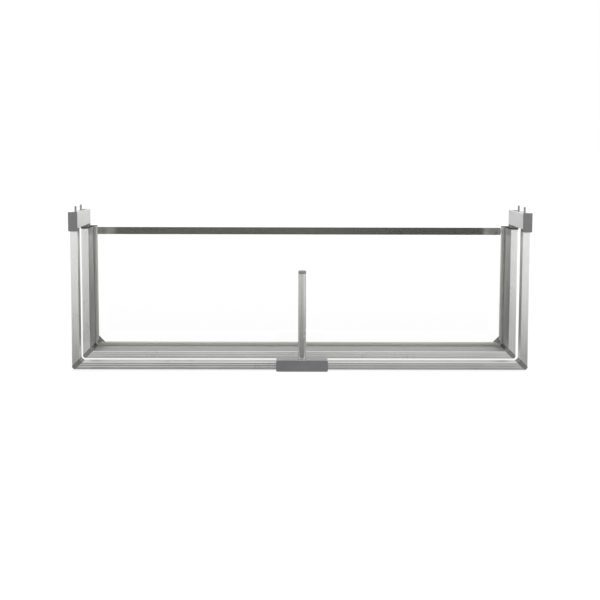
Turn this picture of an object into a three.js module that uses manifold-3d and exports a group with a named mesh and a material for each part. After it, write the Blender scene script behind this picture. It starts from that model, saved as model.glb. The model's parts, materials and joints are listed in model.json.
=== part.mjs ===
// A counter sneeze guard. Two U-shaped frames of aluminium extrusion stand one behind the other:
// a shallow one in front, and a deep one behind whose inward lip carries a clear pane and a dark
// top bar. A box bracket at each side joins the frames at the top and carries two threaded studs.
// A clamped sleeve with a round post slides along the front rail.
//
// Millimetres, +Z up, +X to the right as seen from the front, +Y towards the back.
// Pieces are placed from the front face of the front frame (y = 0), the underside of its rail
// (z = 0) and the middle of its width (x = 0). The whole assembly is then moved so that the
// origin is at the bottom centre of the object's box.

import * as THREE from "three";
import { mergeVertices } from "three/addons/utils/BufferGeometryUtils.js";
import Module from "manifold-3d";

const wasm = await Module();
wasm.setup();

// Frame extrusions
const frameWidth = 1200;
const faceWidth = 20;
const frontPostTop = 363;
const rearPostTop = 358.5;
const wall = 2;
const edgeRadius = 2;
const frontDepth = 40;
const rearFront = 188;
const rearDepth = 112;
const rearWeb = 3;
const lipReach = 10;
const lipThickness = 3;
const grooveWidth = 1.6;
const grooveDepth = 0.8;
const frontGrooves = [8, 14];
const innerGrooves = [37, 75];

// Clearance between neighbouring pieces
const gap = 0.3;

// Corner connectors: half the plate's width along a post or rail, and the tongues' reach
const plateHalf = 8;
const innerChamfer = 6;
const gussetLeg = 17;
const tongueEnd = 62;
const tongueTaper = 3;
const tongueScrewAt = 38;
const screwHoleRadius = 2.6;
const screwRadius = 2;
const screwLength = 14;
const screwHeadRadius = 4;
const screwHeadEdge = 1.2;
const screwHeadHeight = 2.2;
const screwSocketRadius = 1.4;

// Caps of the posts: plugs, and on the rear posts a plate over the section
const capPlateThickness = 2.4;
const capPlugDepth = 14;

// Brackets
const bracketWidth = 24;
const bracketBottom = 370.8;
const bracketHeight = 40;
const bracketLength = 225;
const bracketWall = 2.5;
const bracketOverhang = 3.5;
const bracketRadius = 1.5;
const frontCapThickness = 2.5;
const frontCapRise = 2.5;
const rearCapThickness = 3;
const capSpigotDepth = 8;
const bracketFootHalfWidth = 11;
const slotWidth = 6.6;
const stripWidth = 6;
const boltHoleRadius = 3.4;
const boltLength = 28;
const frontBoltAt = 20;
const rearBoltAt = rearFront + 19;

// Studs on the brackets
const studRadius = 3;
const studHeight = 16;
const studBelow = 9;
const frontStudAt = 48;
const rearStudAt = 139;
const nutHeight = 5;
const nutCornerRadius = 5.77;

// Pane, tape and top bar
const paneThickness = 6;
const paneSideGap = 1.5;
const paneBottomGap = 0.8;
const paneTop = 357;
const tapeThickness = 1;
const tapeWidth = 6;
const barHeight = 20;
const barTop = 356.5;
const barLeftGap = 0.5;
const barRightGap = 2.5;
const plateLength = 27;
const plateHeight = 16;
const plateThickness = 2;
const plateScrewRadius = 1.5;
const plateScrewHoleRadius = 2;
const plateScrewHeadRadius = 2.9;
const plateScrewHeadHeight = 1.6;

// Centre support
const sleeveCentre = 5;
const sleeveWidth = 136;
const sleeveHeight = 30;
const sleeveFront = -4.5;
const sleeveBack = 45.5;
const sleeveRadius = 3.5;
const linerThickness = 1.2;
const linerReach = 12;
const lockScrewSpacing = 84;
const postRadius = 10;
const postWall = 1.5;
const centrePostTop = 260;
const centreCapHeight = 7.5;
const centreCapRadius = 10.4;
const plugHeight = 30;

// Rear feet, as thick as the sleeve's floor is deep, so that the object stands level
const footThickness = 5;
const footLength = 60;
const footDepth = 55;
const footFromEnd = 30;
const footFromBack = 8;

// Values worked out from those above
const half = frameWidth / 2;
const inner = half - faceWidth;
const rearBack = rearFront + rearDepth;
const lipFront = rearBack - lipThickness;
const bracketTop = bracketBottom + bracketHeight;
const bracketOuter = half + bracketOverhang;
const bracketMiddle = bracketOuter - bracketWidth / 2;
const bracketMiddleAcross = half - bracketMiddle;
const rearCapTop = rearPostTop + gap + capPlateThickness;
const sleeveTop = faceWidth / 2 + sleeveHeight / 2;
const sleeveInset = linerThickness + 2 * gap;
const railMiddle = frontDepth / 2;

function satin(color, roughness, metalness) {
  return new THREE.MeshStandardMaterial({ color, roughness, metalness });
}

const aluminium = satin(0xb9bab8, 0.42, 0.9);
const darkPlastic = satin(0x626468, 0.55, 0);
const sleeveGrey = satin(0x6c6e72, 0.5, 0);
const barBlack = satin(0x4a4b46, 0.45, 0.6);
const steel = satin(0xa9abad, 0.3, 1);
const rubber = satin(0x2b2b2b, 0.9, 0);
const nylon = satin(0xd8d8d2, 0.6, 0);
const clearTape = satin(0xc9ccc6, 0.5, 0);
const glass = new THREE.MeshStandardMaterial({
  color: 0xe6efe9,
  roughness: 0.05,
  metalness: 0,
  transparent: true,
  opacity: 0.2,
});

// Solids for joining and cutting

function solidFrom(geometry) {
  const bare = geometry.clone();
  bare.deleteAttribute("normal");
  bare.deleteAttribute("uv");
  const merged = mergeVertices(bare, 1e-4);
  const vertProperties = new Float32Array(merged.getAttribute("position").array);
  const triVerts = new Uint32Array(merged.index.array);
  return new wasm.Manifold(new wasm.Mesh({ numProp: 3, vertProperties, triVerts }));
}

function geometryFrom(solid) {
  const { vertProperties, triVerts } = solid.getMesh();
  const geometry = new THREE.BufferGeometry();
  geometry.setAttribute("position", new THREE.BufferAttribute(vertProperties, 3));
  geometry.setIndex(new THREE.BufferAttribute(triVerts, 1));
  const faceted = geometry.toNonIndexed();
  faceted.computeVertexNormals();
  return faceted;
}

function cut(geometry, ...tools) {
  return geometryFrom(tools.reduce((s, tool) => s.subtract(solidFrom(tool)), solidFrom(geometry)));
}

function join(geometry, ...others) {
  return geometryFrom(others.reduce((s, other) => s.add(solidFrom(other)), solidFrom(geometry)));
}

// Basic shapes

function extrude(shape, depth) {
  return new THREE.ExtrudeGeometry(shape, { depth, bevelEnabled: false, curveSegments: 4 });
}

// A shape drawn in x and z, extruded along y from one depth to another.
function extrudeBack(shape, from, to) {
  return extrude(shape, to - from).rotateX(Math.PI / 2).translate(0, to, 0);
}

function polygon(points) {
  return new THREE.Shape(points.map(([x, y]) => new THREE.Vector2(x, y)));
}

function rectangle(x0, y0, x1, y1) {
  return polygon([[x0, y0], [x1, y0], [x1, y1], [x0, y1]]);
}

function roundedRectangle(x0, y0, x1, y1, radius) {
  const shape = new THREE.Shape();
  shape.moveTo(x0 + radius, y0);
  shape.absarc(x1 - radius, y0 + radius, radius, -Math.PI / 2, 0);
  shape.absarc(x1 - radius, y1 - radius, radius, 0, Math.PI / 2);
  shape.absarc(x0 + radius, y1 - radius, radius, Math.PI / 2, Math.PI);
  shape.absarc(x0 + radius, y0 + radius, radius, Math.PI, 1.5 * Math.PI);
  return shape;
}

function box(x0, y0, z0, x1, y1, z1) {
  const geometry = new THREE.BoxGeometry(x1 - x0, y1 - y0, z1 - z0);
  return geometry.translate((x0 + x1) / 2, (y0 + y1) / 2, (z0 + z1) / 2);
}

// A solid turned about the y axis. Each profile point is [radius, height].
function turned(profile, sides = 12) {
  return new THREE.LatheGeometry(profile.map(([r, h]) => new THREE.Vector2(r, h)), sides);
}

function turnedUpright(profile, sides = 12) {
  return turned(profile, sides).rotateX(Math.PI / 2);
}

function rod(radius, from, to, sides = 12) {
  return turned([[0, from], [radius, from], [radius, to], [0, to]], sides);
}

function uprightRod(radius, from, to, sides = 12) {
  return rod(radius, from, to, sides).rotateX(Math.PI / 2);
}

function piece(name, geometry, material) {
  const mesh = new THREE.Mesh(geometry, material);
  mesh.name = name;
  return mesh;
}

// The extrusions. A section is drawn with x from the frame's outer face inwards and y from its
// front face backwards.

function profileSection(depth, lip) {
  const r = edgeRadius;
  const shape = new THREE.Shape();
  shape.moveTo(r, 0);
  for (const at of frontGrooves) {
    shape.lineTo(at - grooveWidth / 2, 0);
    shape.lineTo(at, grooveDepth);
    shape.lineTo(at + grooveWidth / 2, 0);
  }
  shape.absarc(faceWidth - r, r, r, -Math.PI / 2, 0);
  if (lip) {
    for (const at of innerGrooves) {
      shape.lineTo(faceWidth, at - grooveWidth / 2);
      shape.lineTo(faceWidth - grooveDepth, at);
      shape.lineTo(faceWidth, at + grooveWidth / 2);
    }
    shape.lineTo(faceWidth, depth - lipThickness);
    shape.lineTo(faceWidth + lipReach, depth - lipThickness);
    shape.lineTo(faceWidth + lipReach, depth);
  } else {
    shape.absarc(faceWidth - r, depth - r, r, 0, Math.PI / 2);
  }
  shape.absarc(r, depth - r, r, Math.PI / 2, Math.PI);
  shape.absarc(r, r, r, Math.PI, 1.5 * Math.PI);
  for (const [from, to] of chambers(depth, lip)) {
    shape.holes.push(rectangle(wall, from, faceWidth - wall, to));
  }
  return shape;
}

// The hollow chambers of a section, each from one depth to another.
function chambers(depth, lip) {
  if (!lip) {
    return [[wall, depth - wall]];
  }
  const middle = depth / 2;
  return [[wall, middle - rearWeb / 2], [middle + rearWeb / 2, depth - wall]];
}

// Moves the end vertices of an extrusion along it, each end by its own function of x.
function cutEnds(geometry, length, startAt, endAt) {
  const position = geometry.getAttribute("position");
  for (let i = 0; i < position.count; i += 1) {
    const across = position.getX(i);
    const along = position.getZ(i) < length / 2 ? startAt(across) : endAt(across);
    position.setZ(i, along);
  }
  geometry.computeVertexNormals();
  return geometry;
}

const mitre = (across) => across + plateHalf + gap;

// The left post, from its mitre at the foot to its square top.
function postGeometry(depth, lip, top) {
  const straight = extrude(profileSection(depth, lip), top);
  const mitred = cutEnds(straight, top, mitre, () => top);
  const hole = rod(screwHoleRadius, depth - wall - 1, depth + 1);
  const screwHole = hole.translate(faceWidth / 2, 0, tongueScrewAt);
  return cut(mitred, screwHole).translate(-half, 0, 0);
}

// The rail, mitred at both ends. Its outer face is its underside.
function railGeometry(depth, lip) {
  const straight = extrude(profileSection(depth, lip), frameWidth);
  const mitred = cutEnds(straight, frameWidth, mitre, (across) => frameWidth - mitre(across));
  const holes = [tongueScrewAt, frameWidth - tongueScrewAt].map((along) =>
    rod(screwHoleRadius, depth - wall - 1, depth + 1).translate(faceWidth / 2, 0, along),
  );
  return cut(mitred, ...holes).rotateY(-Math.PI / 2).translate(half, 0, 0);
}

// The plate of a corner connector, seen from the front, with the frame's outer corner at 0, 0.
function cornerPlate(reach, chamfer) {
  const shape = new THREE.Shape();
  shape.moveTo(plateHalf, 0);
  shape.lineTo(reach + plateHalf, reach);
  if (chamfer > plateHalf) {
    shape.lineTo(reach + plateHalf, reach + gap);
    shape.lineTo(reach + chamfer, reach + gap);
    shape.lineTo(reach + gap, reach + chamfer);
    shape.lineTo(reach + gap, reach + plateHalf);
  } else {
    shape.lineTo(reach + chamfer, reach);
    shape.lineTo(reach, reach + chamfer);
  }
  shape.lineTo(reach, reach + plateHalf);
  shape.lineTo(0, plateHalf);
  shape.absarc(plateHalf, plateHalf, plateHalf, Math.PI, 1.5 * Math.PI);
  return shape;
}

// The tongue of a corner connector that fills a post's chamber, seen from the front.
function tongueShape() {
  const low = wall + gap;
  const high = faceWidth - wall - gap;
  return polygon([
    [low, low],
    [high, high],
    [high, tongueEnd - tongueTaper],
    [high - tongueTaper, tongueEnd],
    [low + tongueTaper, tongueEnd],
    [low, tongueEnd - tongueTaper],
  ]);
}

// The left corner connector. The rail's tongue is the post's tongue mirrored about the mitre.
function cornerGeometry(depth, lip) {
  const parts = [];
  if (lip) {
    parts.push(extrudeBack(cornerPlate(faceWidth, innerChamfer), 0, depth - lipThickness));
    parts.push(extrudeBack(cornerPlate(faceWidth + lipReach, gussetLeg), depth - lipThickness, depth));
  } else {
    parts.push(extrudeBack(cornerPlate(faceWidth, innerChamfer), 0, depth));
  }
  for (const [from, to] of chambers(depth, lip)) {
    const tongue = extrudeBack(tongueShape(), from + gap, to - gap);
    const toRail = new THREE.Matrix4().set(0, 0, 1, 0, 0, 1, 0, 0, 1, 0, 0, 0, 0, 0, 0, 1);
    const railTongue = mirrored(tongue, toRail);
    parts.push(tongue, railTongue);
  }
  const [first, ...rest] = parts;
  const screwHoles = [[faceWidth / 2, tongueScrewAt], [tongueScrewAt, faceWidth / 2]].map(([x, z]) =>
    rod(2.4, depth - 16, depth + 1).translate(x, 0, z),
  );
  return cut(join(first, ...rest), ...screwHoles).translate(-half, 0, 0);
}

// A copy of a geometry under a mirroring matrix, with its faces turned to point out again.
function mirrored(geometry, matrix) {
  const copy = geometry.clone().applyMatrix4(matrix);
  const position = copy.getAttribute("position");
  for (let i = 0; i < position.count; i += 3) {
    const second = new THREE.Vector3().fromBufferAttribute(position, i + 1);
    const third = new THREE.Vector3().fromBufferAttribute(position, i + 2);
    position.setXYZ(i + 1, third.x, third.y, third.z);
    position.setXYZ(i + 2, second.x, second.y, second.z);
  }
  return copy;
}

// Screws. Each head points to +y or, upright, to -z or +z as placed.

function panScrew(length) {
  return turned([
    [0, -length],
    [screwSocketRadius, -length],
    [screwRadius, -length + 1],
    [screwRadius, gap],
    [screwHeadRadius, gap],
    [screwHeadRadius, screwHeadEdge],
    [screwHeadRadius - 1.2, screwHeadHeight],
    [screwSocketRadius, screwHeadHeight],
    [screwSocketRadius, screwHeadEdge],
    [0, screwHeadEdge],
  ]);
}

// The two screws that hold a connector's tongues, in the back of the frame.
function cornerScrews(side, frame, back) {
  const post = piece(`${frame}_${side}_post_screw`, panScrew(screwLength), steel);
  post.position.set(-half + faceWidth / 2, back, tongueScrewAt);
  const rail = piece(`${frame}_${side}_rail_screw`, panScrew(screwLength), steel);
  rail.position.set(-half + tongueScrewAt, back, faceWidth / 2);
  return [post, rail];
}

// A plug in a post's chamber, between two depths, and its bolt hole.
function capPlug([from, to], top, rise) {
  const across = faceWidth - wall - gap;
  return box(wall + gap, from + gap, top - capPlugDepth, across, to - gap, top + rise);
}

function capBoltHole(boltAt, top) {
  const hole = uprightRod(boltHoleRadius, top - capPlugDepth - 1, top + capPlugDepth);
  return hole.translate(bracketMiddleAcross, boltAt, 0);
}

// The front posts' cap is a plug, flush with the post's top.
function frontPostCap() {
  const [chamber] = chambers(frontDepth, false);
  return cut(capPlug(chamber, frontPostTop, 0), capBoltHole(frontBoltAt, frontPostTop));
}

// The rear posts' cap has a plate over the whole section, lip included, and two plugs.
function rearPostCap() {
  const r = edgeRadius;
  const outline = new THREE.Shape();
  outline.moveTo(r, 0);
  outline.absarc(faceWidth - r, r, r, -Math.PI / 2, 0);
  outline.lineTo(faceWidth, rearDepth - lipThickness);
  outline.lineTo(faceWidth + lipReach, rearDepth - lipThickness);
  outline.lineTo(faceWidth + lipReach, rearDepth);
  outline.absarc(r, rearDepth - r, r, Math.PI / 2, Math.PI);
  outline.absarc(r, r, r, Math.PI, 1.5 * Math.PI);
  const plate = extrude(outline, capPlateThickness).translate(0, 0, rearPostTop + gap);
  const plugs = chambers(rearDepth, true).map((chamber) => capPlug(chamber, rearPostTop, gap + 1));
  return cut(join(plate, ...plugs), capBoltHole(rearBoltAt - rearFront, rearPostTop));
}

// Brackets

// The tube, with a slot in its top from the rear stud to its rear end.
function bracketGeometry() {
  const outer = bracketWidth / 2;
  const section = roundedRectangle(-outer, bracketBottom, outer, bracketTop, bracketRadius);
  const bore = rectangle(
    -outer + bracketWall,
    bracketBottom + bracketWall,
    outer - bracketWall,
    bracketTop - bracketWall,
  );
  section.holes.push(bore);
  const boltHoles = [frontBoltAt, rearBoltAt].map((y) =>
    uprightRod(boltHoleRadius, bracketBottom - 1, bracketBottom + bracketWall + 1).translate(0, y, 0),
  );
  const studHoles = [frontStudAt, rearStudAt].map((y) =>
    uprightRod(studRadius + 0.4, bracketTop - bracketWall - 1, bracketTop + 1, 16).translate(0, y, 0),
  );
  const slot = box(
    -slotWidth / 2,
    rearStudAt,
    bracketTop - bracketWall - 1,
    slotWidth / 2,
    bracketLength + 1,
    bracketTop + 1,
  );
  const tube = extrudeBack(section, 0, bracketLength);
  return cut(tube, ...boltHoles, ...studHoles, slot).translate(-bracketMiddle, 0, 0);
}

// The face plate of a bracket's end cap, from one depth to another.
function bracketPlate(from, to, low, high) {
  const outer = bracketWidth / 2;
  return extrudeBack(roundedRectangle(-outer, low, outer, high, bracketRadius), from, to);
}

// The spigot of an end cap, which fills the mouth of the tube.
function bracketSpigot(from, to) {
  const side = bracketWidth / 2 - bracketWall - gap;
  const inset = bracketWall + gap;
  return box(-side, from, bracketBottom + inset, side, to, bracketTop - inset);
}

// The foot of an end cap, which carries the tube on a post, with a hole for the bolt.
function bracketFoot(from, to, low, boltAt) {
  const side = bracketFootHalfWidth;
  const foot = box(-side, from, low, side, to, bracketBottom - gap);
  return cut(foot, uprightRod(boltHoleRadius, low - 1, bracketBottom + 1).translate(0, boltAt, 0));
}

// The front cap stands a little proud of the tube's top.
function bracketFrontCap() {
  const low = frontPostTop + gap;
  return join(
    bracketPlate(-frontCapThickness, -gap, low, bracketTop + frontCapRise),
    bracketSpigot(-gap - 0.5, capSpigotDepth),
    bracketFoot(-gap - 0.5, frontDepth - gap, low, frontBoltAt),
  ).translate(-bracketMiddle, 0, 0);
}

// The rear cap has a strip that closes the slot behind the rear stud.
function bracketRearCap() {
  const low = rearCapTop + gap;
  const plateFrom = bracketLength + gap;
  const stripFrom = rearStudAt + studRadius + 3;
  const stripLow = bracketTop - bracketWall + gap;
  return join(
    bracketPlate(plateFrom, plateFrom + rearCapThickness, low, bracketTop),
    bracketSpigot(bracketLength - capSpigotDepth, plateFrom + 0.5),
    bracketFoot(rearFront + 2, plateFrom + 0.5, low, rearBoltAt),
    box(-stripWidth / 2, stripFrom, stripLow, stripWidth / 2, plateFrom + 0.5, bracketTop),
  ).translate(-bracketMiddle, 0, 0);
}

function studGeometry() {
  const low = bracketTop - bracketWall - studBelow;
  const top = bracketTop + studHeight;
  return turnedUpright(
    [
      [0, low],
      [studRadius, low],
      [studRadius, top - 0.8],
      [studRadius - 0.8, top],
      [0, top],
    ],
    16,
  );
}

// A hexagon nut, held under the bracket's top wall.
function nutGeometry() {
  const hexagon = new THREE.Shape();
  for (let i = 0; i < 6; i += 1) {
    const angle = (i * Math.PI) / 3;
    const x = nutCornerRadius * Math.cos(angle);
    const y = nutCornerRadius * Math.sin(angle);
    if (i === 0) {
      hexagon.moveTo(x, y);
    } else {
      hexagon.lineTo(x, y);
    }
  }
  const bore = new THREE.Path();
  bore.absarc(0, 0, studRadius + 0.3, 0, 2 * Math.PI, true);
  hexagon.holes.push(bore);
  return extrude(hexagon, nutHeight).translate(0, 0, bracketTop - bracketWall - gap - nutHeight);
}

// A socket-head bolt whose head sits on the floor of the bracket.
function bracketBoltGeometry() {
  const seat = bracketBottom + bracketWall + gap;
  return turnedUpright([
    [0, seat - boltLength],
    [3, seat - boltLength],
    [3, seat],
    [5, seat],
    [5, seat + 6],
    [2.5, seat + 6],
    [2.5, seat + 3],
    [0, seat + 3],
  ]);
}

function bracketPieces(side) {
  const caps = [
    piece(`${side}_bracket_front_cap`, bracketFrontCap(), darkPlastic),
    piece(`${side}_bracket_rear_cap`, bracketRearCap(), darkPlastic),
  ];
  const fasteners = [];
  for (const [where, y] of [["front", frontStudAt], ["rear", rearStudAt]]) {
    const stud = piece(`${side}_${where}_stud`, studGeometry(), steel);
    const nut = piece(`${side}_${where}_stud_nut`, nutGeometry(), steel);
    for (const fastener of [stud, nut]) {
      fastener.position.set(-bracketMiddle, y, 0);
      fasteners.push(fastener);
    }
  }
  for (const [where, y] of [["front", frontBoltAt], ["rear", rearBoltAt]]) {
    const bolt = piece(`${side}_bracket_${where}_bolt`, bracketBoltGeometry(), steel);
    bolt.position.set(-bracketMiddle, y, 0);
    fasteners.push(bolt);
  }
  return [piece(`${side}_bracket`, bracketGeometry(), aluminium), ...caps, ...fasteners];
}

// Pane, tape and top bar

// The pane, with its lower corners cut off to clear the corner connectors.
function paneGeometry() {
  const side = inner - paneSideGap;
  const low = faceWidth + paneBottomGap;
  const back = lipFront - tapeThickness - 2 * gap;
  const outline = polygon([
    [-side + innerChamfer, low],
    [side - innerChamfer, low],
    [side, low + innerChamfer],
    [side, paneTop],
    [-side, paneTop],
    [-side, low + innerChamfer],
  ]);
  return extrudeBack(outline, back - paneThickness, back);
}

// A U of tape on the front of the lips: up one post, along the rail and up the other post.
function tapeGeometry() {
  const side = inner - gap;
  const low = faceWidth + gap;
  const shape = polygon([
    [-side + innerChamfer, low],
    [side - innerChamfer, low],
    [side, low + innerChamfer],
    [side, paneTop],
    [side - tapeWidth, paneTop],
    [side - tapeWidth, low + tapeWidth],
    [-side + tapeWidth, low + tapeWidth],
    [-side + tapeWidth, paneTop],
    [-side, paneTop],
    [-side, low + innerChamfer],
  ]);
  return extrudeBack(shape, lipFront - gap - tapeThickness, lipFront - gap);
}

const barLeft = -inner + lipReach + barLeftGap;
const barRight = inner - lipReach - barRightGap;
const barMiddleHeight = barTop - barHeight / 2;
const barScrewInset = 8;

function topBarGeometry() {
  const bar = box(barLeft, lipFront, barTop - barHeight, barRight, rearBack, barTop);
  const holes = [barLeft + barScrewInset, barRight - barScrewInset].map((x) =>
    rod(2, lipFront - 1, rearBack + 1).translate(x, 0, barMiddleHeight),
  );
  return cut(bar, ...holes);
}

const lipScrewX = inner - lipReach / 2;

// The plate behind one end of the bar, from the lip to the bar.
function barPlate(side, barScrewX) {
  const direction = side === "left" ? -1 : 1;
  const outerEnd = direction * (inner - 1);
  const innerEnd = outerEnd - direction * plateLength;
  const from = rearBack + gap;
  const plate = extrudeBack(
    roundedRectangle(
      Math.min(outerEnd, innerEnd),
      barMiddleHeight - plateHeight / 2,
      Math.max(outerEnd, innerEnd),
      barMiddleHeight + plateHeight / 2,
      2,
    ),
    from,
    from + plateThickness,
  );
  const holes = [direction * lipScrewX, barScrewX].map((x) =>
    rod(plateScrewHoleRadius, from - 1, from + plateThickness + 1).translate(x, 0, barMiddleHeight),
  );
  return piece(`top_bar_${side}_plate`, cut(plate, ...holes), aluminium);
}

// A small screw through a bar plate. Its tip ends flush with the front of the bar and lip.
function plateScrew(name, x) {
  const seat = rearBack + gap + plateThickness + gap;
  const screw = piece(
    name,
    turned([
      [0, lipFront + 0.2],
      [plateScrewRadius, lipFront + 0.2],
      [plateScrewRadius, seat],
      [plateScrewHeadRadius, seat],
      [plateScrewHeadRadius, seat + plateScrewHeadHeight / 2],
      [plateScrewHeadRadius - 0.9, seat + plateScrewHeadHeight],
      [0, seat + plateScrewHeadHeight],
    ]),
    steel,
  );
  screw.position.set(x, 0, barMiddleHeight);
  return screw;
}

// The rear posts' lips have a hole for the outer plate screw.
function rearPostGeometry() {
  const hole = rod(plateScrewHoleRadius, rearDepth - lipThickness - 1, rearDepth + 1);
  return cut(postGeometry(rearDepth, true, rearPostTop), hole.translate(-lipScrewX, 0, barMiddleHeight));
}

// Centre support

function sleeveGeometry() {
  const low = faceWidth / 2 - sleeveHeight / 2;
  const halfWidth = sleeveWidth / 2;
  const block = extrudeBack(
    roundedRectangle(-halfWidth, low, halfWidth, sleeveTop, sleeveRadius),
    sleeveFront,
    sleeveBack,
  );
  const channel = box(
    -halfWidth - 1,
    -sleeveInset,
    -sleeveInset,
    halfWidth + 1,
    frontDepth + sleeveInset,
    faceWidth + sleeveInset,
  );
  const countersink = turnedUpright(
    [
      [0, faceWidth],
      [6.4, faceWidth],
      [6.4, faceWidth + sleeveInset + 0.4],
      [3.4, faceWidth + sleeveInset + 3],
      [3.4, sleeveTop + 1],
      [0, sleeveTop + 1],
    ],
    16,
  ).translate(0, railMiddle, 0);
  const lockHoles = [-1, 1].map((side) =>
    rod(2.9, frontDepth, sleeveBack + 1).translate((side * lockScrewSpacing) / 2, 0, faceWidth / 2),
  );
  return cut(block, channel, countersink, ...lockHoles);
}

// A thin channel of plastic round one long edge of the rail.
function linerGeometry(atFront) {
  const reach = atFront ? linerReach : frontDepth - linerReach;
  const edge = atFront ? -gap - linerThickness : frontDepth + gap + linerThickness;
  const face = atFront ? -gap : frontDepth + gap;
  const low = -gap - linerThickness;
  const high = faceWidth + gap + linerThickness;
  const halfWidth = sleeveWidth / 2 - 2;
  const outer = box(-halfWidth, Math.min(edge, reach), low, halfWidth, Math.max(edge, reach), high);
  const hollow = box(
    -halfWidth - 1,
    Math.min(face, reach + (atFront ? 1 : -1)),
    -gap,
    halfWidth + 1,
    Math.max(face, reach + (atFront ? 1 : -1)),
    faceWidth + gap,
  );
  return cut(outer, hollow);
}

// A thumb screw whose tip stops just short of the rear liner.
function lockScrewGeometry() {
  const tip = frontDepth + 2 * gap + linerThickness;
  const seat = sleeveBack + gap;
  return turned(
    [
      [0, tip],
      [2.5, tip],
      [2.5, seat],
      [7, seat],
      [7.5, seat + 0.6],
      [7.5, seat + 6.4],
      [7, seat + 7],
      [0, seat + 7],
    ],
    16,
  );
}

function centrePostGeometry() {
  const tube = new THREE.Shape();
  tube.absarc(0, 0, postRadius, 0, 2 * Math.PI);
  const bore = new THREE.Path();
  bore.absarc(0, 0, postRadius - postWall, 0, 2 * Math.PI, true);
  tube.holes.push(bore);
  const low = sleeveTop + gap;
  const length = centrePostTop - centreCapHeight - gap - low;
  const settings = { depth: length, bevelEnabled: false, curveSegments: 32 };
  return new THREE.ExtrudeGeometry(tube, settings).translate(0, 0, low);
}

function centreCapGeometry() {
  const low = centrePostTop - centreCapHeight;
  const spigot = postRadius - postWall - gap;
  return turnedUpright(
    [
      [0, low - 10],
      [spigot - 1, low - 10],
      [spigot, low - 9],
      [spigot, low],
      [centreCapRadius, low],
      [centreCapRadius, centrePostTop - 1],
      [centreCapRadius - 1, centrePostTop],
      [0, centrePostTop],
    ],
    24,
  );
}

function centrePlugGeometry() {
  const low = sleeveTop + gap;
  const radius = postRadius - postWall - gap;
  return turnedUpright(
    [
      [3.4, low],
      [radius, low],
      [radius, low + plugHeight],
      [3.4, low + plugHeight],
      [3.4, low],
    ],
    16,
  );
}

// A countersunk bolt from inside the sleeve up into the plug.
function centreBoltGeometry() {
  const low = faceWidth + sleeveInset + 0.1;
  return turnedUpright([
    [0, low + 1],
    [1.8, low + 1],
    [1.8, low],
    [5.8, low],
    [3, low + 2.8],
    [3, sleeveTop + plugHeight - 6],
    [0, sleeveTop + plugHeight - 6],
  ]);
}

function centreSupport() {
  const support = new THREE.Group();
  support.position.x = sleeveCentre;
  support.add(piece("support_sleeve", sleeveGeometry(), sleeveGrey));
  support.add(piece("front_liner", linerGeometry(true), nylon));
  support.add(piece("rear_liner", linerGeometry(false), nylon));
  for (const [side, direction] of [["left", -1], ["right", 1]]) {
    const screw = piece(`${side}_lock_screw`, lockScrewGeometry(), darkPlastic);
    screw.position.set((direction * lockScrewSpacing) / 2, 0, faceWidth / 2);
    support.add(screw);
  }
  const upright = new THREE.Group();
  upright.position.y = railMiddle;
  upright.add(piece("centre_post", centrePostGeometry(), aluminium));
  upright.add(piece("centre_post_cap", centreCapGeometry(), darkPlastic));
  upright.add(piece("centre_post_plug", centrePlugGeometry(), darkPlastic));
  upright.add(piece("centre_post_bolt", centreBoltGeometry(), steel));
  support.add(upright);
  return support;
}

// Feet

function footGeometry() {
  const from = -half + footFromEnd;
  const back = rearBack - footFromBack;
  const pad = roundedRectangle(from, back - footDepth, from + footLength, back, 6);
  return extrude(pad, footThickness - gap).translate(0, 0, -footThickness);
}

// The assembly

function sidePieces(side) {
  const pieces = new THREE.Group();
  const front = new THREE.Group();
  front.add(piece(`front_${side}_post`, postGeometry(frontDepth, false, frontPostTop), aluminium));
  front.add(piece(`front_${side}_corner`, cornerGeometry(frontDepth, false), darkPlastic));
  const frontCap = piece(`front_${side}_post_cap`, frontPostCap(), darkPlastic);
  frontCap.position.x = -half;
  front.add(frontCap);

  const rear = new THREE.Group();
  rear.position.y = rearFront;
  rear.add(piece(`rear_${side}_post`, rearPostGeometry(), aluminium));
  rear.add(piece(`rear_${side}_corner`, cornerGeometry(rearDepth, true), darkPlastic));
  const rearCap = piece(`rear_${side}_post_cap`, rearPostCap(), darkPlastic);
  rearCap.position.x = -half;
  rear.add(rearCap);

  pieces.add(front, rear);
  pieces.add(...cornerScrews(side, "front", frontDepth));
  pieces.add(...cornerScrews(side, "rear", rearBack));
  pieces.add(...bracketPieces(side));
  pieces.add(piece(`rear_${side}_foot`, footGeometry(), rubber));
  return pieces;
}

const assembly = new THREE.Group();
const rightSide = sidePieces("right");
rightSide.scale.x = -1;
assembly.add(sidePieces("left"), rightSide);

assembly.add(piece("front_rail", railGeometry(frontDepth, false), aluminium));
const rearRail = piece("rear_rail", railGeometry(rearDepth, true), aluminium);
rearRail.position.y = rearFront;
assembly.add(rearRail);

assembly.add(piece("shield_pane", paneGeometry(), glass));
assembly.add(piece("pane_tape", tapeGeometry(), clearTape));
assembly.add(piece("rear_top_bar", topBarGeometry(), barBlack));
const barScrews = { left: barLeft + barScrewInset, right: barRight - barScrewInset };
for (const [side, direction] of [["left", -1], ["right", 1]]) {
  assembly.add(barPlate(side, barScrews[side]));
  assembly.add(plateScrew(`top_bar_${side}_outer_screw`, direction * lipScrewX));
  assembly.add(plateScrew(`top_bar_${side}_inner_screw`, barScrews[side]));
}
assembly.add(centreSupport());

// Stand the object on z = 0 and centre it on the origin from front to back.
assembly.updateMatrixWorld(true);
const extent = new THREE.Box3().setFromObject(assembly);
assembly.position.set(0, -(extent.min.y + extent.max.y) / 2, -extent.min.z);

const group = new THREE.Group();
group.add(assembly);
export default group;
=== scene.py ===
"""Looks of the sneeze guard: refined pieces, procedural materials, a pale studio and the camera."""

import json
import math

import bmesh
import bpy
from mathutils import Matrix, Vector


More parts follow.
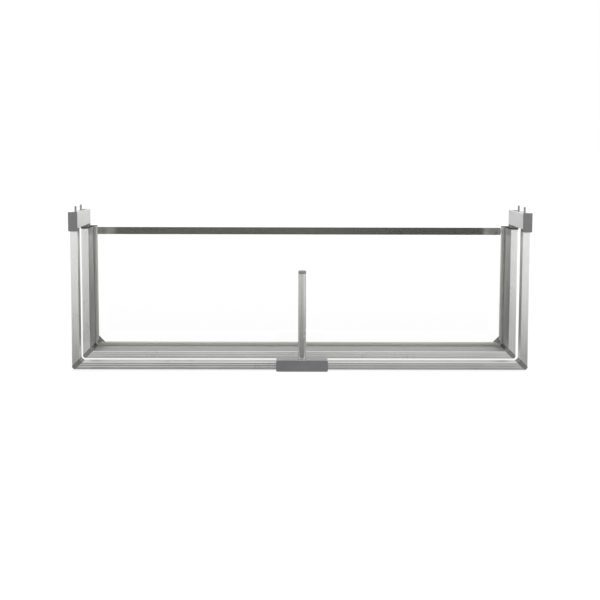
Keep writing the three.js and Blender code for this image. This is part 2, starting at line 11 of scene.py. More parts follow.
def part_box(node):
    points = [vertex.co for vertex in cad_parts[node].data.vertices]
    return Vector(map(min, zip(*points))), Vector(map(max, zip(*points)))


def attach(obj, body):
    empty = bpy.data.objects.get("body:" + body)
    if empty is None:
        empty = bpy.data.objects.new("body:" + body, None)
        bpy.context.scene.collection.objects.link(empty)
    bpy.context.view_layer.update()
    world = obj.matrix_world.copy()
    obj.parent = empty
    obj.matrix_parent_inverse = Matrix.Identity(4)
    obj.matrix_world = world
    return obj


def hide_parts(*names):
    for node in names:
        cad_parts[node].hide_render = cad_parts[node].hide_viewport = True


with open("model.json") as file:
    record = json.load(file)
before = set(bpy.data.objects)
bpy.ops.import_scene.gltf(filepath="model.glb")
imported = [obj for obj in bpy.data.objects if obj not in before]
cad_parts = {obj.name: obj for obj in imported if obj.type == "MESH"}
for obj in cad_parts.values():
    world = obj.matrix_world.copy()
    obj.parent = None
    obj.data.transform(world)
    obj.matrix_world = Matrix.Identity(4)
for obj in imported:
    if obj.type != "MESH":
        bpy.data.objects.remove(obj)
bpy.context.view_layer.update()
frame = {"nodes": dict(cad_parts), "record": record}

MM = 0.001
BODIES = frame["record"]["behaviour"]["bodies"]
BODY_OF = {node: body for body, nodes in BODIES.items() for node in nodes}
SLOT_OF = {part["node"]: part["material_slot"] for part in frame["record"]["subparts"]}
SIDES = ("left", "right")


# Camera


def make_camera():
    """A long lens in front of the guard and a little above it, looking down at the frame."""
    position = Vector((-0.032, -3.6345, 0.5937))
    pitch, yaw, roll = math.radians(6.613), math.radians(0.512), math.radians(0.165)
    camera = bpy.data.objects.new("camera", bpy.data.cameras.new("camera"))
    camera.data.sensor_width = 36
    camera.data.lens = 80.4
    turn = (
        Matrix.Rotation(-yaw, 4, "Z")
        @ Matrix.Rotation(math.pi / 2 - pitch, 4, "X")
        @ Matrix.Rotation(roll, 4, "Z")
    )
    camera.matrix_world = Matrix.Translation(position) @ turn
    bpy.context.scene.collection.objects.link(camera)
    bpy.context.scene.camera = camera


# Node graphs

# Most of a noise's values lie in this range.
NOISE_RANGE = (0.3, 0.7)


class Graph:
    """A node tree with short calls for the nodes used here."""

    def __init__(self, tree):
        self.tree = tree
        self.tree.nodes.clear()

    def node(self, kind, **settings):
        made = self.tree.nodes.new(kind)
        for key, value in settings.items():
            setattr(made, key, value)
        return made

    def link(self, source, target):
        self.tree.links.new(source, target)

    def feed(self, socket, value):
        """Links a socket to another, or sets its number or colour."""
        if isinstance(value, bpy.types.NodeSocket):
            self.link(value, socket)
        elif isinstance(value, tuple) and len(value) == 3 and socket.type == "RGBA":
            socket.default_value = (*value, 1)
        else:
            socket.default_value = value

    def math(self, operation, first, second=0.0):
        made = self.node("ShaderNodeMath", operation=operation)
        self.feed(made.inputs[0], first)
        self.feed(made.inputs[1], second)
        return made.outputs[0]

    def spread(self, source, low, high, between=NOISE_RANGE, smooth=False):
        """A value that goes from low to high while the source goes between two others."""
        kind = "SMOOTHSTEP" if smooth else "LINEAR"
        ranged = self.node("ShaderNodeMapRange", interpolation_type=kind)
        self.link(source, ranged.inputs["Value"])
        for key, value in (
            ("From Min", between[0]),
            ("From Max", between[1]),
            ("To Min", low),
            ("To Max", high),
        ):
            self.feed(ranged.inputs[key], value)
        return ranged.outputs[0]

    def axes(self, coordinates):
        """The three numbers of a place or direction, by axis."""
        place = self.node("ShaderNodeSeparateXYZ")
        self.link(coordinates, place.inputs[0])
        return place.outputs

    def mix(self, factor, first, second):
        """A colour between two colours, each an RGB triple or a socket."""
        blend = self.node("ShaderNodeMix", data_type="RGBA")
        self.feed(blend.inputs[0], factor)
        self.feed(blend.inputs[6], first)
        self.feed(blend.inputs[7], second)
        return blend.outputs[2]


class Surface(Graph):
    """A material with one Principled shader over the object's own coordinates, in metres."""

    def __init__(self, name):
        self.material = bpy.data.materials.new(name)
        self.material.use_nodes = True
        super().__init__(self.material.node_tree)
        self.shader = self.node("ShaderNodeBsdfPrincipled")
        output = self.node("ShaderNodeOutputMaterial")
        self.link(self.shader.outputs[0], output.inputs["Surface"])
        self.coordinates = self.node("ShaderNodeTexCoord").outputs["Object"]

    def set(self, **values):
        for key, value in values.items():
            self.feed(self.shader.inputs[key.replace("_", " ")], value)

    def noise(self, scale, stretch=(1, 1, 1), detail=4, roughness=0.55, offset=(0, 0, 0)):
        """Noise, stretched by the given factors along the axes."""
        mapping = self.node("ShaderNodeMapping")
        mapping.inputs["Location"].default_value = offset
        mapping.inputs["Scale"].default_value = stretch
        self.link(self.coordinates, mapping.inputs["Vector"])
        texture = self.node("ShaderNodeTexNoise")
        texture.inputs["Scale"].default_value = scale
        texture.inputs["Detail"].default_value = detail
        texture.inputs["Roughness"].default_value = roughness
        self.link(mapping.outputs[0], texture.inputs["Vector"])
        return texture.outputs["Fac"]

    def bump(self, height, strength, distance):
        bump = self.node("ShaderNodeBump")
        bump.inputs["Strength"].default_value = strength
        bump.inputs["Distance"].default_value = distance
        self.link(height, bump.inputs["Height"])
        self.link(bump.outputs[0], self.shader.inputs["Normal"])


# Materials

# Die lines are a fine noise, pulled out along the axis of the extrusion.
LINE_SCALE = 1400
LINE_PULL = 0.004
ACROSS_LINES = {"X": (LINE_PULL, 1, 1), "Y": (1, LINE_PULL, 1), "Z": (1, 1, LINE_PULL)}
LINE_DEPTH = 0.0001
LINE_STRENGTH = 0.012

WORN_METAL = (0.5, 0.5, 0.47)
# The dark colour of painted shade on the connector plastic.
PAINTED_SHADE_DARK = (0.02, 0.02, 0.019)


def shade(colour, factor):
    return tuple(min(1, channel * factor) for channel in colour)


def anodised(name, colour, roughness, along, metallic=0.85, contrast=0.05):
    """Satin anodised aluminium with fine die lines along one axis and faint handling marks."""
    s = Surface(name)
    lines = s.noise(LINE_SCALE, ACROSS_LINES[along], detail=2)
    bands = s.noise(160, ACROSS_LINES[along], detail=2, offset=(0.3, 0.7, 0.1))
    clouds = s.noise(9, detail=3, offset=(2, 5, 1))
    together = s.math("ADD", s.math("ADD", lines, bands), clouds)
    tone = s.spread(together, 0, 1, between=(1.1, 1.9))
    s.set(Base_Color=s.mix(tone, shade(colour, 1 - contrast), shade(colour, 1 + contrast)))
    marks = s.noise(14, detail=4, roughness=0.6, offset=(4, 1, 3))
    handled = s.spread(marks, roughness - 0.03, roughness + 0.06)
    s.set(Roughness=s.math("ADD", s.spread(lines, -0.02, 0.02), handled), Metallic=metallic)
    s.bump(lines, LINE_STRENGTH, LINE_DEPTH)
    return s.material


def bronzed(name, colour, dark, roughness):
    """Dark anodising over die lines along X. It is darker towards the right end and worn light
    near both ends."""
    s = Surface(name)
    x = s.axes(s.coordinates)["X"]
    lines = s.noise(LINE_SCALE, ACROSS_LINES["X"], detail=2)
    clouds = s.noise(11, detail=4, offset=(2, 5, 1))
    fade = s.spread(x, 0, 1, between=(0.0, 0.36), smooth=True)
    faded = s.mix(fade, colour, dark)
    near_end = s.spread(s.math("ABSOLUTE", x), 0, 0.8, between=(0.51, 0.53), smooth=True)
    wear = s.math("MULTIPLY", near_end, s.spread(s.noise(70, detail=4), 0.6, 1))
    worn = s.mix(wear, faded, WORN_METAL)
    uneven = s.mix(s.spread(clouds, 0, 0.3), worn, shade(colour, 0.6))
    s.set(Base_Color=uneven, Metallic=0.4, Specular_IOR_Level=0.1)
    cloudy = s.spread(clouds, roughness, roughness + 0.1)
    s.set(Roughness=s.math("ADD", s.spread(lines, -0.04, 0.04), cloudy))
    s.bump(lines, LINE_STRENGTH, LINE_DEPTH)
    return s.material


def moulded(name, colour, roughness, bump=0.25, variation=0.15, shine=0.5, shade_span=None):
    """Moulded plastic with a fine spark-eroded grain and slight flow marks. Given two places
    along Y, in metres, the plastic turns dark between them: painted shade, not dirt."""
    s = Surface(name)
    fine = s.noise(1800, detail=2)
    clouds = s.noise(30, detail=4, offset=(1, 2, 3))
    flow = s.noise(12, (1, 1, 4), detail=5, offset=(6, 2, 1))
    tone = s.spread(s.math("ADD", clouds, flow), 0, 1, between=(0.7, 1.3))
    plastic = s.mix(tone, shade(colour, 1 - variation), shade(colour, 1 + variation))
    # Painted shade: the plastic darkens between two places along Y.
    if shade_span:
        shade_mask = s.spread(s.axes(s.coordinates)["Y"], 0, 0.85, between=shade_span, smooth=True)
        plastic = s.mix(shade_mask, plastic, PAINTED_SHADE_DARK)
    s.set(Base_Color=plastic, Roughness=s.spread(clouds, roughness - 0.06, roughness + 0.08))
    s.set(Specular_IOR_Level=shine)
    s.bump(fine, bump, 0.0001)
    return s.material


def powder_coat(name, colour, roughness):
    """Satin powder coat with a fine orange-peel surface under a clear gloss."""
    s = Surface(name)
    peel = s.noise(900, detail=2)
    clouds = s.noise(18, (1, 1, 3), detail=4, offset=(2, 7, 1))
    s.set(Base_Color=s.mix(s.spread(clouds, 0, 1), shade(colour, 0.9), shade(colour, 1.12)))
    s.set(Roughness=s.spread(peel, roughness - 0.05, roughness + 0.05))
    s.set(Coat_Weight=1.0, Coat_Roughness=0.1, Coat_IOR=1.9)
    s.bump(peel, 0.15, 0.0002)
    return s.material


def plated_steel(name, colour, roughness):
    """Zinc-plated steel with a slightly blotchy bright finish."""
    s = Surface(name)
    blotches = s.noise(160, detail=5, roughness=0.65)
    s.set(Base_Color=s.mix(s.spread(blotches, 0, 1), shade(colour, 0.82), shade(colour, 1.1)))
    s.set(Roughness=s.spread(blotches, roughness - 0.06, roughness + 0.1), Metallic=1.0)
    return s.material


def rubber(name, colour):
    """Dull black rubber with a dusty bloom."""
    s = Surface(name)
    dust = s.noise(120, detail=6, roughness=0.7)
    s.set(Base_Color=s.mix(s.spread(dust, 0, 1), colour, shade(colour, 1.9)))
    s.set(Roughness=s.spread(dust, 0.75, 0.9))
    s.bump(dust, 0.2, 0.0002)
    return s.material


def foam_tape(name, colour):
    """Acrylic foam tape with a fine cell structure."""
    s = Surface(name)
    cells = s.node("ShaderNodeTexVoronoi")
    cells.inputs["Scale"].default_value = 2500
    s.link(s.coordinates, cells.inputs["Vector"])
    tone = s.spread(cells.outputs["Distance"], 0, 1, between=(0, 0.6))
    s.set(Base_Color=s.mix(tone, shade(colour, 0.88), shade(colour, 1.08)), Roughness=0.6)
    return s.material


def clear_glass(name, tint, least, most):
    """Glass with faint smears. Its opacity is the least seen straight on and the most at a slant."""
    s = Surface(name)
    smears = s.noise(6, detail=5, offset=(3, 1, 2))
    s.set(Base_Color=s.mix(s.spread(smears, 0, 1), shade(tint, 0.96), tint))
    fresnel = s.node("ShaderNodeFresnel")
    fresnel.inputs["IOR"].default_value = 1.5
    s.set(Alpha=s.spread(fresnel.outputs[0], least, most, between=(0.04, 0.9)))
    s.set(Roughness=s.spread(smears, 0.02, 0.06), Metallic=0.85)
    return s.material


ALUMINIUM = (0.85, 0.855, 0.835)
CONNECTOR_GREY = (0.25, 0.25, 0.25)
BRONZE = (0.09, 0.092, 0.08)
DARK_BRONZE = (0.012, 0.013, 0.012)

# A material for each slot of the record, then those that only some pieces or faces have.
MATERIALS = {
    "extrusion": anodised("extrusion_upright", ALUMINIUM, 0.3, "Z"),
    "bracket": anodised("bracket_metal", (0.93, 0.93, 0.925), 0.45, "Y", metallic=0.15, contrast=0.03),
    "post_tube": anodised("post_metal", (0.6, 0.6, 0.595), 0.22, "Z", metallic=0.7),
    "connector": moulded("connector_plastic", CONNECTOR_GREY, 0.45),
    "cap": moulded("cap_plastic", (0.04, 0.04, 0.04), 0.8, shine=0.05),
    "bracket_cap": anodised("bracket_cap_metal", (0.22, 0.22, 0.22), 0.45, "Z", metallic=0.3),
    "sleeve": powder_coat("sleeve_coat", (0.28, 0.28, 0.29), 0.32),
    "top_bar": bronzed("bar_metal", BRONZE, DARK_BRONZE, 0.3),
    "stud": plated_steel("stud_metal", (0.5, 0.5, 0.5), 0.32),
    "steel_screw": plated_steel("screw_metal", (0.55, 0.55, 0.56), 0.3),
    "thumb_screw": moulded("thumb_plastic", (0.05, 0.05, 0.052), 0.5),
    "liner": moulded("nylon", (0.7, 0.7, 0.67), 0.5, variation=0.05),
    "pane": clear_glass("pane_glass", (0.9, 0.92, 0.85), 0.04, 0.6),
    "tape": foam_tape("tape_foam", (0.55, 0.555, 0.52)),
    "foot": rubber("foot_rubber", (0.035, 0.035, 0.035)),
}
RAIL_METAL = anodised("extrusion_level", ALUMINIUM, 0.3, "X")
CENTRE_CAP = moulded("centre_cap_plastic", (0.3, 0.3, 0.298), 0.4)
# Darker copies of the extrusion metal, for the faces that look into the guard: painted shade.
SHADED_FACE_METAL = {
    axis: anodised("extrusion_inner_" + axis.lower(), shade(ALUMINIUM, 0.66), 0.32, axis)
    for axis in ("X", "Z")
}
# A copy of the connector plastic that darkens towards the back: painted shade in the inner corner.
SHADED_CONNECTOR = moulded("connector_painted_shade", CONNECTOR_GREY, 0.5, shade_span=(0.05, 0.1))
# A paler copy of the connector plastic for the gusset: painted light.
LIT_GUSSET = moulded("gusset_painted_light", (0.36, 0.36, 0.355), 0.45)
GLASS_EDGE = clear_glass("pane_edge_glass", (0.62, 0.68, 0.6), 0.2, 0.7)


# Pieces


def dress(piece, node, material=None):
    """Puts a piece in the place of its CAD node: material, body, slot."""
    piece.data.materials.clear()
    piece.data.materials.append(material or MATERIALS[SLOT_OF[node]])
    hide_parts(node)
    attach(piece, BODY_OF[node])
    return piece


def apply_modifiers(piece):
    bpy.context.view_layer.update()
    shaped = bpy.data.meshes.new_from_object(
        piece.evaluated_get(bpy.context.evaluated_depsgraph_get())
    )
    piece.modifiers.clear()
    piece.data = shaped


# How far edges are rounded, in mm.
USUAL_ROUNDING = 0.35
ROUNDING = {
    "front_rail": 0.25,
    "rear_rail": 0.25,
    "rear_left_post": 0.25,
    "rear_right_post": 0.25,
    "shield_pane": 0.6,
    "support_sleeve": 1.4,
    "rear_top_bar": 0.5,
    "rear_left_foot": 1.2,
    "rear_right_foot": 1.2,
    "left_bracket_front_cap": 0.6,
    "right_bracket_front_cap": 0.6,
}


def refined(node, segments=2):
    """A copy of a CAD node with its flat faces joined up and its edges rounded."""
    mesh = frame["nodes"][node].data.copy()
    bm = bmesh.new()
    bm.from_mesh(mesh)
    bmesh.ops.remove_doubles(bm, verts=bm.verts, dist=1e-6)
    bmesh.ops.dissolve_limit(bm, angle_limit=math.radians(1), verts=bm.verts, edges=bm.edges)
    for face in bm.faces:
        face.smooth = True
    bm.to_mesh(mesh)
    bm.free()
    piece = bpy.data.objects.new(node + "_piece", mesh)
    bpy.context.scene.collection.objects.link(piece)
    rounding = piece.modifiers.new("bevel", "BEVEL")
    rounding.width = ROUNDING.get(node, USUAL_ROUNDING) * MM
    rounding.segments = segments
    rounding.limit_method = "ANGLE"
    rounding.angle_limit = math.radians(32)
    piece.modifiers.new("normals", "WEIGHTED_NORMAL").keep_sharp = True
    apply_modifiers(piece)
    return piece


# Two directions across a turned piece, and the one along it.
AXES = {
    "Y": (Vector((1, 0, 0)), Vector((0, 0, 1)), Vector((0, 1, 0))),
    "Z": (Vector((1, 0, 0)), Vector((0, 1, 0)), Vector((0, 0, 1))),
}


def turned(node, rings, origin, axis="Z", sides=48, closed=False, sharp=35, material=None):
    """A turned piece. Each ring is a height and a radius in mm, and the radius may be a function
    of the angle. A ring of radius 0 is a point. A closed piece joins its last ring to its first."""
    across, up, along = AXES[axis]
    bm = bmesh.new()
    loops = []
    for height, radius in rings:
        centre = origin + along * height * MM
        if radius == 0:
            loops.append([bm.verts.new(centre)])
            continue
        loop = []
        for i in range(sides):
            angle = 2 * math.pi * i / sides
            reach = (radius(angle) if callable(radius) else radius) * MM
            outward = across * math.cos(angle) + up * math.sin(angle)
            loop.append(bm.verts.new(centre + outward * reach))
        loops.append(loop)
    pairs = list(zip(loops, loops[1:]))
    if closed:
        pairs.append((loops[-1], loops[0]))
    for first, second in pairs:
        for i in range(sides):
            j = (i + 1) % sides
            corners = [first[i % len(first)], first[j % len(first)]]
            corners += [second[j % len(second)], second[i % len(second)]]
            distinct = list(dict.fromkeys(corners))
            if len(distinct) > 2:
                bm.faces.new(distinct)
    bmesh.ops.recalc_face_normals(bm, faces=bm.faces)
    for face in bm.faces:
        face.smooth = True
    mesh = bpy.data.meshes.new(node + "_piece")
    bm.to_mesh(mesh)
    bm.free()
    mesh.set_sharp_from_angle(angle=math.radians(sharp))
    piece = bpy.data.objects.new(node + "_piece", mesh)
    bpy.context.scene.collection.objects.link(piece)
    return dress(piece, node, material)


def hexagon(across_flats):
    """The radius of a hexagon at each angle."""
    return lambda angle: across_flats / 2 / math.cos(angle % (math.pi / 3) - math.pi / 6)


def knurl(radius, depth, count):
    """The radius of a knurled edge at each angle."""
    return lambda angle: radius - depth / 2 + depth / 2 * math.cos(count * angle)


def thread(radius, depth, pitch, height):
    """The radius of a screw thread at each angle, at one height."""
    turn = 2 * math.pi * height / pitch
    return lambda angle: radius - depth / 2 + depth / 2 * math.cos(turn - angle)


THREAD_DEPTH = 0.6
RINGS_PER_TURN = 6


def threaded(radius, low, high, pitch=1.0):
    """Rings of a thread between two heights. Its depth is a part of its pitch."""
    depth = THREAD_DEPTH * pitch
    count = round(RINGS_PER_TURN * (high - low) / pitch)
    heights = [low + (high - low) * i / count for i in range(count + 1)]
    return [(height, thread(radius, depth, pitch, height)) for height in heights]


def tube(length, outer, bore, chamfer):
    """Rings of a tube with its four edges chamfered."""
    return [
        (0, bore + chamfer),
        (0, outer - chamfer),
        (chamfer, outer),
        (length - chamfer, outer),
        (length, outer - chamfer),
        (length, bore + chamfer),
        (length - chamfer, bore),
        (chamfer, bore),
    ]


def quarter_round(radius, height, rounding, steps=6):
    """Rings of a quarter round that ends a cylinder at a height."""
    angles = [math.pi / 2 * i / steps for i in range(steps + 1)]
    return [
        (height - rounding + rounding * math.sin(a), radius - rounding + rounding * math.cos(a))
        for a in angles
    ]


def underside(node):
    """The middle of a node's underside, in metres, and its height in mm."""
    low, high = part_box(node)
    base = Vector(((low.x + high.x) / 2, (low.y + high.y) / 2, low.z))
    return base, (high.z - low.z) / MM


def back(node):
    """The middle of a node's back, in metres, and its length from front to back in mm."""
    low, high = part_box(node)
    origin = Vector(((low.x + high.x) / 2, high.y, (low.z + high.z) / 2))
    return origin, (high.y - low.y) / MM


# The radius of the threads on the studs, the bracket bolts and the centre post's bolt, and of
# their ends, with the height of the chamfer there, in mm. A thread stops short of a shank or a
# head by its run-out.
THREAD_RADIUS = 3.0
END_RADIUS = 2.2
END_CHAMFER = 0.8
RUN_OUT = 0.2


def make_stud(node):
    """A stud, threaded from end to end."""
    base, length = underside(node)
    rings = [(0, 0), (0, END_RADIUS)]
    rings += threaded(THREAD_RADIUS, END_CHAMFER, length - END_CHAMFER)
    rings += [(length, END_RADIUS), (length, 0)]
    turned(node, rings, base, sides=32, sharp=60)


def make_nut(node):
    """A hexagon nut with its corners turned down at both ends and a plain chamfered bore."""
    base, height = underside(node)
    flats = hexagon(10)
    face, corner = 4.9, 5.4
    corner_height, flats_height = 0.5, 0.9
    bore, chamfer = 3.3, 0.5

    def turned_down(angle):
        return min(flats(angle), corner)

    rings = [(0, face), (corner_height, turned_down), (flats_height, flats)]
    rings += [(height - flats_height, flats), (height - corner_height, turned_down), (height, face)]
    rings += [(height, bore + chamfer), (height - chamfer, bore)]
    rings += [(chamfer, bore), (0, bore + chamfer)]
    turned(node, rings, base, closed=True, sharp=25)


def make_button_screw(node, shank, head, head_height, socket):
    """A button-head screw in the back of the guard. Shank and head are radii, and the socket's
    size is the distance across its flats."""
    origin, length = back(node)
    seat = -head_height
    tip_chamfer, edge_chamfer, edge_height = 0.6, 0.15, 0.5
    dome_steps, dome_top = 6, 0.62
    socket_chamfer, socket_end, socket_point = 0.1, seat + 0.6, seat + 0.3
    opening, walls = socket * 0.66, hexagon(socket)
    rings = [(-length, 0), (-length, shank * 0.6)]
    rings += threaded(shank, -length + tip_chamfer, seat - RUN_OUT, pitch=0.7)
    rings += [(seat, shank), (seat, head * 0.95)]
    rings += [(seat + edge_chamfer, head), (seat + edge_height, head)]
    for i in range(1, dome_steps):
        angle = math.pi / 2 * i / dome_steps
        height = seat + edge_height + (head_height - edge_height) * math.sin(angle)
        rings.append((height, head * (dome_top + (1 - dome_top) * math.cos(angle))))
    rings += [(0, head * 0.6), (0, opening), (-socket_chamfer, walls)]
    rings += [(socket_end, walls), (socket_point, 0)]
    turned(node, rings, origin, axis="Y", sides=36)


def make_corner_screw(node):
    make_button_screw(node, shank=2, head=4, head_height=1.9, socket=3)


def make_plate_screw(node):
    make_button_screw(node, shank=1.5, head=2.9, head_height=1.6, socket=2)


def make_bracket_bolt(node):
    """A socket-head bolt, head up, with a knurled head."""
    base, length = underside(node)
    shank, shank_length = 2.9, 3.8
    head, head_height, bottom_chamfer, top_chamfer = 5.0, 6, 0.4, 0.8
    opening, socket_chamfer, socket_depth, socket_point = 3.1, 0.2, 3, 3.3
    seat = length - head_height
    shank_start = seat - shank_length
    side = knurl(head, depth=0.25, count=24)
    walls = hexagon(5)
    rings = [(0, 0), (0, END_RADIUS)]
    rings += threaded(THREAD_RADIUS, END_CHAMFER, shank_start - RUN_OUT)
    rings += [(shank_start, shank), (seat, shank)]
    rings += [(seat, head - bottom_chamfer), (seat + bottom_chamfer, side)]
    rings += [(length - top_chamfer, side), (length, head - top_chamfer), (length, opening)]
    rings += [(length - socket_chamfer, walls), (length - socket_depth, walls)]
    rings.append((length - socket_point, 0))
    turned(node, rings, base, sides=96)


def make_thumb_screw(node):
    """A screw with a knurled grip head and a dished face. Its head is at the back of the guard."""
    origin, length = back(node)
    shank, tip, tip_chamfer = 2.5, 1.8, 0.6
    seat, grip_start, grip_end = -7, -6.2, -1.2
    grip = knurl(7.5, depth=0.7, count=20)
    rings = [(-length, 0), (-length, tip), (-length + tip_chamfer, shank), (seat, shank)]
    rings += [(seat, 5.6), (seat + 0.3, 6.4), (grip_start, grip), (grip_end, grip)]
    rounded_edge = [(-0.5, 6.6), (-0.1, 6.0), (0, 5.4)]
    dish = [(-0.2, 4.8), (-0.9, 4.2), (-1.0, 0)]
    turned(node, rings + rounded_edge + dish, origin, axis="Y", sides=120, sharp=50)


def make_centre_post(node):
    """The round tube of the centre support."""
    base, length = underside(node)
    turned(node, tube(length, outer=10.0, bore=8.5, chamfer=0.3), base, sides=96, closed=True)


def make_centre_cap(node):
    """The cap of the centre post: a spigot inside the tube, and a head with a rounded rim."""
    base, length = underside(node)
    spigot, lead_in = 8.2, 1
    head, head_height, head_chamfer = 10.4, 7.5, 0.3
    shoulder = length - head_height
    rings = [(0, 0), (0, spigot - lead_in), (lead_in, spigot), (shoulder, spigot)]
    rings += [(shoulder, head - head_chamfer), (shoulder + head_chamfer, head)]
    rings += [*quarter_round(head, length, rounding=2.0), (length, 0)]
    turned(node, rings, base, sides=96, material=CENTRE_CAP)


def make_centre_plug(node):
    """The plug in the foot of the centre post, bored for its bolt."""
    base, length = underside(node)
    turned(node, tube(length, outer=8.2, bore=3.4, chamfer=0.5), base, closed=True)


def make_centre_bolt(node):
    """A countersunk bolt, head down, with a hexagon socket."""
    base, length = underside(node)
    head, head_face, head_edge, cone_end, thread_start = 5.8, 5.5, 0.2, 2.9, 4
    opening, socket_chamfer, socket_depth, socket_point = 2.3, 0.1, 1.3, 1.6
    walls = hexagon(3.4)
    rings = [(socket_point, 0), (socket_depth, walls), (socket_chamfer, walls), (0, opening)]
    rings += [(0, head_face), (head_edge, head), (cone_end, THREAD_RADIUS)]
    rings += threaded(THREAD_RADIUS, thread_start, length - END_CHAMFER)
    rings += [(length, END_RADIUS), (length, 0)]
    turned(node, rings, base)


# How much of a face's normal lies along a direction: at least for a face that looks that way,
# and at most for one that belongs to the pane's ground edge.
FACING = 0.9
EDGE_FACING = 0.7


def make_pane(node):
    """The clear pane, with ground edges that show the green of the glass."""
    pane = dress(refined(node, segments=3), node)
    pane.data.materials.append(GLASS_EDGE)
    for face in pane.data.polygons:
        if abs(face.normal.y) < EDGE_FACING:
            face.material_index = 1


def make_rear_extrusion(node):
    """A rear extrusion, whose face towards the serving bay has a darker copy of its metal: painted
    shade.
    """
    rail = node == "rear_rail"
    piece = dress(refined(node), node, RAIL_METAL if rail else None)
    piece.data.materials.append(SHADED_FACE_METAL["X" if rail else "Z"])
    inward = Vector((0, 0, 1)) if rail else Vector((1 if "left" in node else -1, 0, 0))
    for face in piece.data.polygons:
        # Faces looking inward get the darker copy of the metal: painted shade.
        if face.normal.dot(inward) > FACING:
            face.material_index = 1


def make_rear_corner(node):
    """A rear corner connector. Its inner corner is painted darker towards the back, as painted shade,
    and a gusset at the back, level with the bar, is painted paler than the connector, as painted
    light."""
    piece = dress(refined(node), node)
    piece.data.materials.append(SHADED_CONNECTOR)
    piece.data.materials.append(LIT_GUSSET)
    bar_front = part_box("rear_top_bar")[0].y
    inward = Vector((1 if "left" in node else -1, 0, 1)).normalized()
    for face in piece.data.polygons:
        # The gusset's faces get the paler copy of the plastic: painted light.
        if face.center.y > bar_front - MM:
            face.material_index = 2
        # Inner corner faces get the darker copy: painted shade.
        elif face.normal.dot(inward) > FACING:
            face.material_index = 1


def makers():
    """The function that makes each piece that is more than its CAD node, refined."""
    made_by = {
        "shield_pane": make_pane,
        "rear_rail": make_rear_extrusion,
        "centre_post": make_centre_post,
        "centre_post_cap": make_centre_cap,
        "centre_post_plug": make_centre_plug,
        "centre_post_bolt": make_centre_bolt,
    }
    for side in SIDES:
        made_by[f"rear_{side}_post"] = make_rear_extrusion
        made_by[f"rear_{side}_corner"] = make_rear_corner
        made_by[f"{side}_lock_screw"] = make_thumb_screw
        for where in ("front", "rear"):
            made_by[f"{side}_{where}_stud"] = make_stud
            made_by[f"{side}_{where}_stud_nut"] = make_nut
            made_by[f"{side}_bracket_{where}_bolt"] = make_bracket_bolt
            for end in ("post", "rail"):
                made_by[f"{where}_{side}_{end}_screw"] = make_corner_screw
        for where in ("outer", "inner"):
            made_by[f"top_bar_{side}_{where}_screw"] = make_plate_screw
    return made_by


def make_pieces():
    """Every piece of the guard, one for each CAD node."""
    made_by = makers()
    for node in frame["nodes"]:
        if node in made_by:
            made_by[node](node)
        else:
            metal = RAIL_METAL if node.endswith("_rail") else None
            dress(refined(node), node, metal)


# Studio

FLOOR_SIZE = 60
FLOOR_BRIGHTNESS = 0.86
FLOOR_GREY = (0.22, 0.22, 0.22)
LIGHT_FROM_ABOVE = 0.9
WHITE = (1, 1, 1)


def seen_by_camera(graph):
    return graph.node("ShaderNodeLightPath").outputs["Is Camera Ray"]


def floor_light(g):
    """The light that the floor sends up: strong far in front and far to the sides, weak round the
    guard, and a little stronger right below it."""
    place = g.axes(g.node("ShaderNodeTexCoord").outputs["Object"])
    across, away = (g.math("ABSOLUTE", place[axis]) for axis in "XY")
    front = g.spread(place["Y"], 1.1, 0.11, between=(-3.4, -0.15), smooth=True)
    beside = g.spread(across, 0.1, 1.1, between=(0.55, 1.3), smooth=True)
    under = g.spread(away, 0.38, 0, between=(0.13, 0.2), smooth=True)
    uneven = g.spread(place["X"], 0.88, 1.05, between=(-1, 1), smooth=True)
    return g.math("MULTIPLY", g.math("MAXIMUM", g.math("MAXIMUM", front, beside), under), uneven)


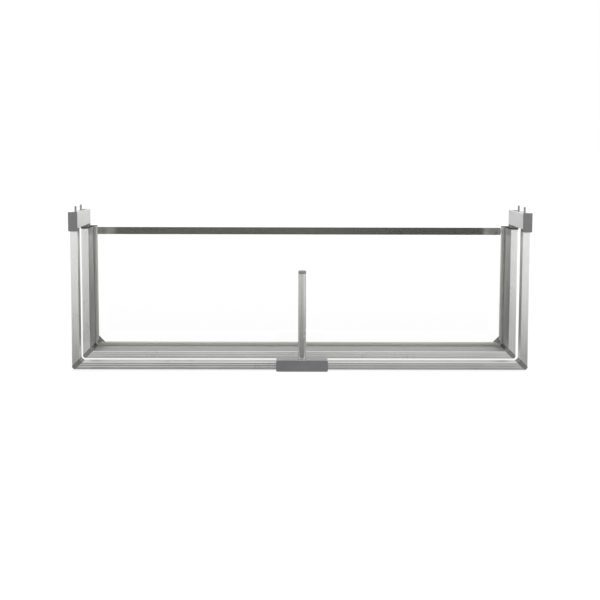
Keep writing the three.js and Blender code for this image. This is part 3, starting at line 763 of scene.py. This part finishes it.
def floor_material():
    """White for the camera, with soft shadows, and the floor's light for everything else."""
    material = bpy.data.materials.new("floor_white")
    material.use_nodes = True
    g = Graph(material.node_tree)
    sent_up = g.node("ShaderNodeEmission")
    g.feed(sent_up.inputs["Strength"], floor_light(g))
    seen = g.node("ShaderNodeEmission")
    g.feed(seen.inputs["Strength"], FLOOR_BRIGHTNESS)
    matt = g.node("ShaderNodeBsdfDiffuse")
    g.feed(matt.inputs["Color"], FLOOR_GREY)
    white = g.node("ShaderNodeAddShader")
    g.link(seen.outputs[0], white.inputs[0])
    g.link(matt.outputs[0], white.inputs[1])
    choice = g.node("ShaderNodeMixShader")
    g.link(seen_by_camera(g), choice.inputs[0])
    g.link(sent_up.outputs[0], choice.inputs[1])
    g.link(white.outputs[0], choice.inputs[2])
    g.link(choice.outputs[0], g.node("ShaderNodeOutputMaterial").inputs["Surface"])
    return material


def make_floor():
    """A square of floor, far larger than the guard."""
    s = FLOOR_SIZE / 2
    mesh = bpy.data.meshes.new("floor")
    mesh.from_pydata([(-s, -s, 0), (s, -s, 0), (s, s, 0), (-s, s, 0)], [], [(0, 1, 2, 3)])
    mesh.materials.append(floor_material())
    floor = bpy.data.objects.new("floor", mesh)
    bpy.context.scene.collection.objects.link(floor)


def sky_light(g):
    """Light by direction: dimmer from behind the guard than from in front, stronger from the
    sides, even from above, and slightly stronger from the right than from the left."""
    direction = g.axes(g.node("ShaderNodeTexCoord").outputs["Generated"])
    sideways = g.math("ABSOLUTE", direction["X"])
    level = g.spread(direction["Y"], 1.06, 0.42, between=(-0.5, 0.7), smooth=True)
    side = g.spread(sideways, 0, 0.65, between=(0.6, 1), smooth=True)
    overhead = g.node("ShaderNodeMix", data_type="FLOAT")
    g.feed(overhead.inputs[0], g.spread(direction["Z"], 0, 1, between=(0.15, 0.7), smooth=True))
    g.feed(overhead.inputs[2], g.math("ADD", level, side))
    g.feed(overhead.inputs[3], LIGHT_FROM_ABOVE)
    uneven = g.spread(direction["X"], 0.9, 1.06, between=(-1, 1))
    return g.math("MULTIPLY", overhead.outputs[0], uneven)


def make_world():
    """Soft light from all round, before a plain white background."""
    world = bpy.data.worlds.new("studio")
    world.use_nodes = True
    g = Graph(world.node_tree)
    strength = g.node("ShaderNodeMix", data_type="FLOAT")
    g.feed(strength.inputs[0], seen_by_camera(g))
    g.feed(strength.inputs[2], sky_light(g))
    g.feed(strength.inputs[3], 1.0)
    background = g.node("ShaderNodeBackground")
    g.feed(background.inputs["Color"], WHITE)
    g.feed(background.inputs["Strength"], strength.outputs[0])
    g.link(background.outputs[0], g.node("ShaderNodeOutputWorld").inputs["Surface"])
    bpy.context.scene.world = world
    bpy.context.scene.view_settings.view_transform = "Standard"


make_camera()
make_pieces()
make_floor()
make_world()
